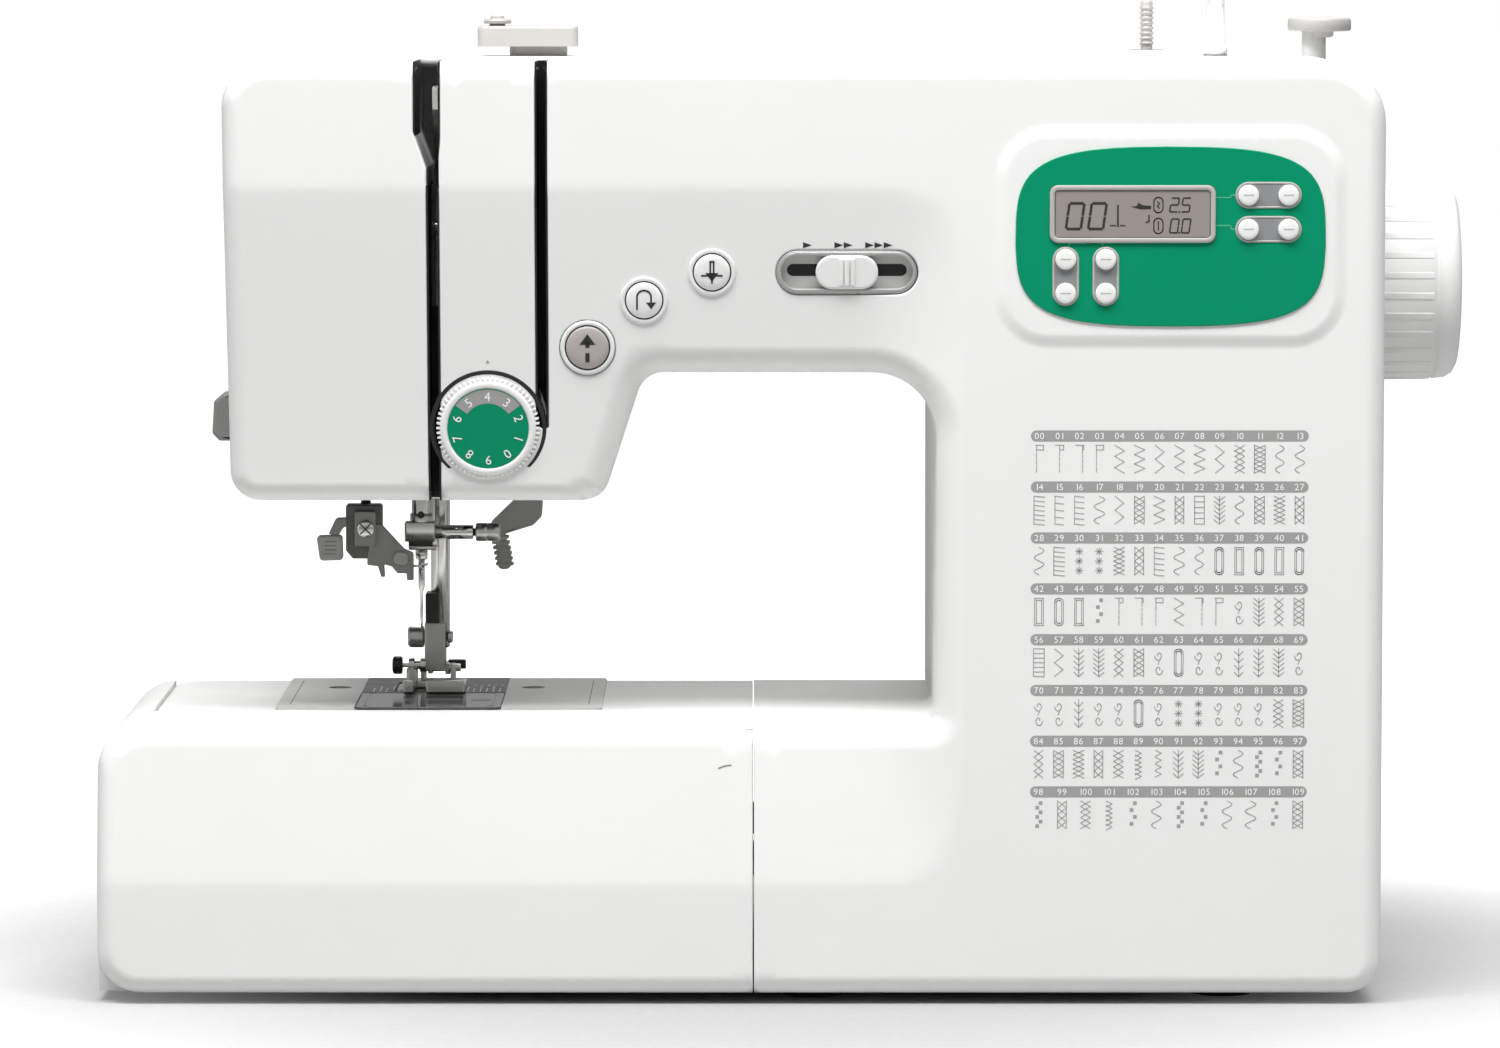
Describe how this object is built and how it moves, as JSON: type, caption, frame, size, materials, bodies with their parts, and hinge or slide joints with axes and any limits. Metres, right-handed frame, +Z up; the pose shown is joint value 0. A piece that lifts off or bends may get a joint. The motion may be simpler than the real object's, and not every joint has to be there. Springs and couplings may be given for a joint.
{
  "type": "sewing machine",
  "caption": "Computerised free-arm household sewing machine with a sloping needle head, control panel, slide-off flat bed and folding carry handle.",
  "frame": {"origin": "centre of the bounding box's bottom face, on the surface the feet stand on", "axes": "+X towards the handwheel, +Y towards the back, +Z up; the user sits at -Y"},
  "size_m": [0.413, 0.179, 0.307],
  "materials": {
    "white_plastic": "glossy moulded white",
    "light_grey_plastic": "fine satin",
    "dark_grey_plastic": "satin",
    "black_plastic": "satin",
    "green_panel": "satin printed film",
    "display": "matte polariser",
    "clear_plastic": "clear polished",
    "key_plastic": "satin",
    "polished_steel": "polished",
    "brushed_steel": "machined",
    "cast_aluminium": "as cast",
    "rubber": "moulded",
    "circuit_board": "solder mask"
  },
  "bodies": {
    "machine": {"front_cover": "white_plastic", "rear_cover": "white_plastic", "cover_screws": "polished_steel", "inner_frame": "cast_aluminium", "rubber_feet": "rubber", "free_arm_cover": "white_plastic", "needle_plate_cover": "light_grey_plastic", "plate_screws": "polished_steel", "needle_plate": "black_plastic", "bobbin_case": "black_plastic", "timing_belt": "rubber", "main_motor": "brushed_steel", "led_lamp": "black_plastic", "tension_ring": "black_plastic", "thread_channel": "black_plastic", "button_rings": "light_grey_plastic", "slider_frame": "light_grey_plastic", "control_panel": "green_panel", "lcd_module": "display", "main_board": "circuit_board", "top_thread_guide": "white_plastic", "spool_pin_base": "white_plastic", "bobbin_stop": "light_grey_plastic", "side_sockets": "black_plastic", "handle_brackets": "white_plastic"},
    "main_shaft": {"handwheel": "white_plastic", "upper_shaft": "brushed_steel"},
    "lower_drive": {"lower_shaft": "brushed_steel"},
    "hook": {"rotary_hook": "brushed_steel"},
    "bobbin": {"bobbin": "clear_plastic"},
    "bobbin_cover": {"bobbin_cover": "clear_plastic"},
    "needle_group": {"needle_bar": "polished_steel", "needle_clamp": "polished_steel", "needle": "polished_steel"},
    "take_up_lever": {"take_up_lever": "white_plastic"},
    "presser": {"presser_bar": "polished_steel", "foot_holder": "dark_grey_plastic"},
    "presser_foot": {"presser_foot": "polished_steel"},
    "presser_lifter": {"presser_lifter": "dark_grey_plastic"},
    "needle_threader": {"needle_threader": "dark_grey_plastic"},
    "tension_dial": {"tension_dial": "white_plastic"},
    "start_stop_button": {"start_stop_button": "light_grey_plastic"},
    "reverse_button": {"reverse_button": "white_plastic"},
    "needle_position_button": {"needle_position_button": "white_plastic"},
    "speed_slider": {"speed_slider": "white_plastic"},
    "power_switch": {"power_switch": "black_plastic"},
    "bobbin_winder": {"bobbin_winder": "white_plastic"},
    "spool_pin": {"spool_pin": "light_grey_plastic"},
    "feed_dog": {"feed_dog": "polished_steel"},
    "carry_handle": {"carry_handle": "white_plastic"},
    "flat_bed": {"flat_bed": "white_plastic"},
    "storage_door": {"storage_door": "white_plastic"},
    "panel_key_1": {"panel_key_1": "key_plastic"},
    "panel_key_2": {"panel_key_2": "key_plastic"},
    "panel_key_3": {"panel_key_3": "key_plastic"},
    "panel_key_4": {"panel_key_4": "key_plastic"},
    "panel_key_5": {"panel_key_5": "key_plastic"},
    "panel_key_6": {"panel_key_6": "key_plastic"},
    "panel_key_7": {"panel_key_7": "key_plastic"},
    "panel_key_8": {"panel_key_8": "key_plastic"}
  },
  "joints": [
    {"name": "main_shaft_turn", "type": "hinge", "parent": "machine", "child": "main_shaft", "pos_m": [0.1, 0, 0.2125], "axis": [1, 0, 0], "continuous": true},
    {"name": "lower_shaft_turn", "type": "hinge", "parent": "machine", "child": "lower_drive", "pos_m": [0, 0, 0.046], "axis": [1, 0, 0], "continuous": true},
    {"name": "hook_turn", "type": "hinge", "parent": "machine", "child": "hook", "pos_m": [-0.108, -0.027, 0.05], "axis": [0, 0, 1], "continuous": true},
    {"name": "bobbin_turn", "type": "hinge", "parent": "machine", "child": "bobbin", "pos_m": [-0.108, -0.027, 0.065], "axis": [0, 0, 1], "continuous": true},
    {"name": "bobbin_cover_slide", "type": "slide", "parent": "machine", "child": "bobbin_cover", "axis": [0, -1, 0], "range_m": [0, 0.045]},
    {"name": "needle_bar_travel", "type": "slide", "parent": "machine", "child": "needle_group", "axis": [0, 0, 1], "range_m": [-0.03, 0]},
    {"name": "take_up_swing", "type": "hinge", "parent": "machine", "child": "take_up_lever", "pos_m": [-0.1051, -0.024, 0.23], "axis": [1, 0, 0], "range_deg": [0, 38]},
    {"name": "presser_lift", "type": "slide", "parent": "machine", "child": "presser", "axis": [0, 0, 1], "range_m": [0, 0.006]},
    {"name": "presser_foot_tilt", "type": "hinge", "parent": "presser", "child": "presser_foot", "pos_m": [-0.1075, 0.016, 0.0912], "axis": [1, 0, 0], "range_deg": [-6, 0]},
    {"name": "presser_lifter_swing", "type": "hinge", "parent": "machine", "child": "presser_lifter", "pos_m": [-0.076, 0.05, 0.16], "axis": [0, 1, 0], "range_deg": [0, 80]},
    {"name": "threader_travel", "type": "slide", "parent": "machine", "child": "needle_threader", "axis": [0, 0, 1], "range_m": [-0.022, 0], "stiffness_N_per_m": 20, "springref_m": 0.006},
    {"name": "tension_dial_turn", "type": "hinge", "parent": "machine", "child": "tension_dial", "pos_m": [-0.0891, -0.07722, 0.1724], "axis": [0, -0.9899, -0.1416], "range_deg": [-144, 180]},
    {"name": "start_stop_button_press", "type": "slide", "parent": "machine", "child": "start_stop_button", "axis": [0, 1, 0], "range_m": [0, 0.0012], "stiffness_N_per_m": 300, "springref_m": -0.0008},
    {"name": "reverse_button_press", "type": "slide", "parent": "machine", "child": "reverse_button", "axis": [0, 1, 0], "range_m": [0, 0.0012], "stiffness_N_per_m": 300, "springref_m": -0.0008},
    {"name": "needle_position_button_press", "type": "slide", "parent": "machine", "child": "needle_position_button", "axis": [0, 1, 0], "range_m": [0, 0.0012], "stiffness_N_per_m": 300, "springref_m": -0.0008},
    {"name": "speed_slider_travel", "type": "slide", "parent": "machine", "child": "speed_slider", "axis": [1, 0, 0], "range_m": [-0.0094, 0.0094]},
    {"name": "panel_key_1_press", "type": "slide", "parent": "machine", "child": "panel_key_1", "axis": [0, 1, 0], "range_m": [0, 0.0008], "stiffness_N_per_m": 300, "springref_m": -0.0006},
    {"name": "panel_key_2_press", "type": "slide", "parent": "machine", "child": "panel_key_2", "axis": [0, 1, 0], "range_m": [0, 0.0008], "stiffness_N_per_m": 300, "springref_m": -0.0006},
    {"name": "panel_key_3_press", "type": "slide", "parent": "machine", "child": "panel_key_3", "axis": [0, 1, 0], "range_m": [0, 0.0008], "stiffness_N_per_m": 300, "springref_m": -0.0006},
    {"name": "panel_key_4_press", "type": "slide", "parent": "machine", "child": "panel_key_4", "axis": [0, 1, 0], "range_m": [0, 0.0008], "stiffness_N_per_m": 300, "springref_m": -0.0006},
    {"name": "panel_key_5_press", "type": "slide", "parent": "machine", "child": "panel_key_5", "axis": [0, 1, 0], "range_m": [0, 0.0008], "stiffness_N_per_m": 300, "springref_m": -0.0006},
    {"name": "panel_key_6_press", "type": "slide", "parent": "machine", "child": "panel_key_6", "axis": [0, 1, 0], "range_m": [0, 0.0008], "stiffness_N_per_m": 300, "springref_m": -0.0006},
    {"name": "panel_key_7_press", "type": "slide", "parent": "machine", "child": "panel_key_7", "axis": [0, 1, 0], "range_m": [0, 0.0008], "stiffness_N_per_m": 300, "springref_m": -0.0006},
    {"name": "panel_key_8_press", "type": "slide", "parent": "machine", "child": "panel_key_8", "axis": [0, 1, 0], "range_m": [0, 0.0008], "stiffness_N_per_m": 300, "springref_m": -0.0006},
    {"name": "power_switch_rock", "type": "hinge", "parent": "machine", "child": "power_switch", "pos_m": [0.172, 0.02, 0.097], "axis": [0, 1, 0], "range_deg": [-8, 8]},
    {"name": "bobbin_winder_shift", "type": "slide", "parent": "machine", "child": "bobbin_winder", "axis": [1, 0, 0], "range_m": [0, 0.005]},
    {"name": "spool_pin_pull", "type": "slide", "parent": "machine", "child": "spool_pin", "axis": [0, 0, 1], "range_m": [0, 0.03]},
    {"name": "feed_dog_travel", "type": "slide", "parent": "machine", "child": "feed_dog", "axis": [0, 1, 0], "range_m": [-0.0022, 0.0022]},
    {"name": "carry_handle_swing", "type": "hinge", "parent": "machine", "child": "carry_handle", "pos_m": [-0.045, 0.057, 0.263], "axis": [1, 0, 0], "range_deg": [0, 130]},
    {"name": "flat_bed_slide", "type": "slide", "parent": "machine", "child": "flat_bed", "axis": [-1, 0, 0], "range_m": [0, 0.2]},
    {"name": "storage_door_swing", "type": "hinge", "parent": "flat_bed", "child": "storage_door", "pos_m": [-0.1, -0.0815, 0.0055], "axis": [1, 0, 0], "range_deg": [0, 70]}
  ],
  "couplings": [
    {"joint": "lower_shaft_turn", "follows": "main_shaft_turn", "ratio": 1},
    {"joint": "hook_turn", "follows": "main_shaft_turn", "ratio": 2},
    {"joint": "presser_lifter_swing", "follows": "presser_lift", "rad_per_m": 232.6}
  ]
}
